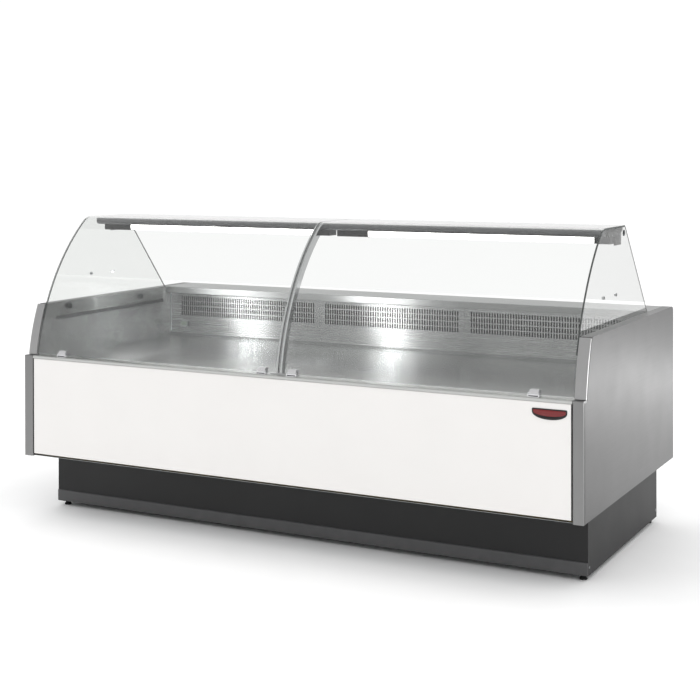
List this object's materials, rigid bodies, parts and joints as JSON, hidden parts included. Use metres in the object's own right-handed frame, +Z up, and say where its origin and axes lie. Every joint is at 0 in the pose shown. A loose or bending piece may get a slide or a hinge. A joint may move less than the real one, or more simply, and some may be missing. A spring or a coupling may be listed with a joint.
{
  "type": "refrigerated display counter",
  "caption": "Long serve-over refrigerated display counter with a curved glass front, stainless side walls and deck, lit canopy, white customer panel and dark plinth on levelling feet.",
  "frame": {"origin": "on the floor under the middle of the counter, at the bottom centre of its bounding box", "axes": "+X along the counter to the customer's right, +Y from the customer side to the server side, +Z up"},
  "size_m": [2.525, 1.235, 1.28],
  "materials": {
    "stainless_steel": "satin",
    "anodised_aluminium": "satin",
    "white_enamel": "gloss",
    "red_lacquer": "gloss",
    "foam": "matte",
    "galvanised_steel": "satin",
    "black_plastic": "matte",
    "dark_plastic": "satin",
    "opal_diffuser": "satin",
    "chrome": "polished",
    "clear_glass": "polished",
    "polished_aluminium": "polished",
    "coil_aluminium": "satin",
    "black_enamel": "gloss",
    "charcoal_paint": "satin",
    "grey_strip": "satin",
    "screw_steel": "polished"
  },
  "bodies": {
    "cabinet": {"side_panel_left": "stainless_steel", "side_panel_right": "stainless_steel", "side_liners": "stainless_steel", "tub_liner": "stainless_steel", "back_panel_left": "stainless_steel", "back_panel_centre": "stainless_steel", "back_panel_right": "stainless_steel", "rear_worktop": "stainless_steel", "deck_bearers": "stainless_steel", "side_trim_left": "anodised_aluminium", "side_trim_right": "anodised_aluminium", "end_post_left": "anodised_aluminium", "end_post_right": "anodised_aluminium", "sill": "anodised_aluminium", "canopy": "anodised_aluminium", "pane_rails": "anodised_aluminium", "front_panel": "white_enamel", "badge": "red_lacquer", "insulation": "foam", "rear_panel": "galvanised_steel", "fan_shelf": "galvanised_steel", "base_frame": "galvanised_steel", "condenser": "galvanised_steel", "canopy_end_cap_left": "black_plastic", "canopy_end_cap_right": "black_plastic", "levelling_feet": "black_plastic", "inlet_gland": "black_plastic", "lamp_holders": "dark_plastic", "thermometer": "dark_plastic", "control_panel": "dark_plastic", "lamp_left": "opal_diffuser", "lamp_right": "opal_diffuser", "centre_post": "chrome", "pane_fixings": "chrome", "hinge_pins": "chrome", "end_pane_left": "clear_glass", "end_pane_right": "clear_glass", "hinge_bases": "polished_aluminium", "evaporator": "coil_aluminium", "fan_motors": "black_enamel", "compressor": "black_enamel", "condenser_motor": "black_enamel", "plinth_front": "charcoal_paint", "plinth_sides": "charcoal_paint", "plinth_rear_grille": "charcoal_paint", "kick_strip": "grey_strip", "screws": "screw_steel"},
    "glass_left": {"front_glass_left": "clear_glass", "glass_clamps_left": "polished_aluminium"},
    "glass_right": {"front_glass_right": "clear_glass", "glass_clamps_right": "polished_aluminium"},
    "plate_left": {"deck_plate_left": "stainless_steel"},
    "plate_centre": {"deck_plate_centre": "stainless_steel"},
    "plate_right": {"deck_plate_right": "stainless_steel"},
    "fan_left": {"evaporator_fan_left": "black_plastic"},
    "fan_centre": {"evaporator_fan_centre": "black_plastic"},
    "fan_right": {"evaporator_fan_right": "black_plastic"},
    "fan_condenser": {"condenser_fan": "black_plastic"},
    "power_switch_rocker": {"power_switch": "black_plastic"},
    "lamp_switch_rocker": {"lamp_switch": "black_plastic"}
  },
  "joints": [
    {"name": "front_glass_left_tilt", "type": "hinge", "parent": "cabinet", "child": "glass_left", "pos_m": [0, -0.5995, 0.699], "axis": [1, 0, 0], "range_deg": [0, 60]},
    {"name": "front_glass_right_tilt", "type": "hinge", "parent": "cabinet", "child": "glass_right", "pos_m": [0, -0.5995, 0.699], "axis": [1, 0, 0], "range_deg": [0, 60]},
    {"name": "deck_plate_left_lift", "type": "slide", "parent": "cabinet", "child": "plate_left", "axis": [0, 0, 1], "range_m": [0, 0.025]},
    {"name": "deck_plate_centre_lift", "type": "slide", "parent": "cabinet", "child": "plate_centre", "axis": [0, 0, 1], "range_m": [0, 0.025]},
    {"name": "deck_plate_right_lift", "type": "slide", "parent": "cabinet", "child": "plate_right", "axis": [0, 0, 1], "range_m": [0, 0.025]},
    {"name": "evaporator_fan_left_spin", "type": "hinge", "parent": "cabinet", "child": "fan_left", "pos_m": [-0.6, -0.0175, 0.47535], "axis": [0, 1, 0], "continuous": true},
    {"name": "evaporator_fan_centre_spin", "type": "hinge", "parent": "cabinet", "child": "fan_centre", "pos_m": [0, -0.0175, 0.47535], "axis": [0, 1, 0], "continuous": true},
    {"name": "evaporator_fan_right_spin", "type": "hinge", "parent": "cabinet", "child": "fan_right", "pos_m": [0.6, -0.0175, 0.47535], "axis": [0, 1, 0], "continuous": true},
    {"name": "condenser_fan_spin", "type": "hinge", "parent": "cabinet", "child": "fan_condenser", "pos_m": [-0.76, 0.3395, 0.147], "axis": [0, 1, 0], "continuous": true},
    {"name": "power_switch_rock", "type": "hinge", "parent": "cabinet", "child": "power_switch_rocker", "pos_m": [0.8, 0.5955, 0.82], "axis": [1, 0, 0], "range_deg": [0, 16]},
    {"name": "lamp_switch_rock", "type": "hinge", "parent": "cabinet", "child": "lamp_switch_rocker", "pos_m": [0.84, 0.5955, 0.82], "axis": [1, 0, 0], "range_deg": [0, 16]}
  ]
}
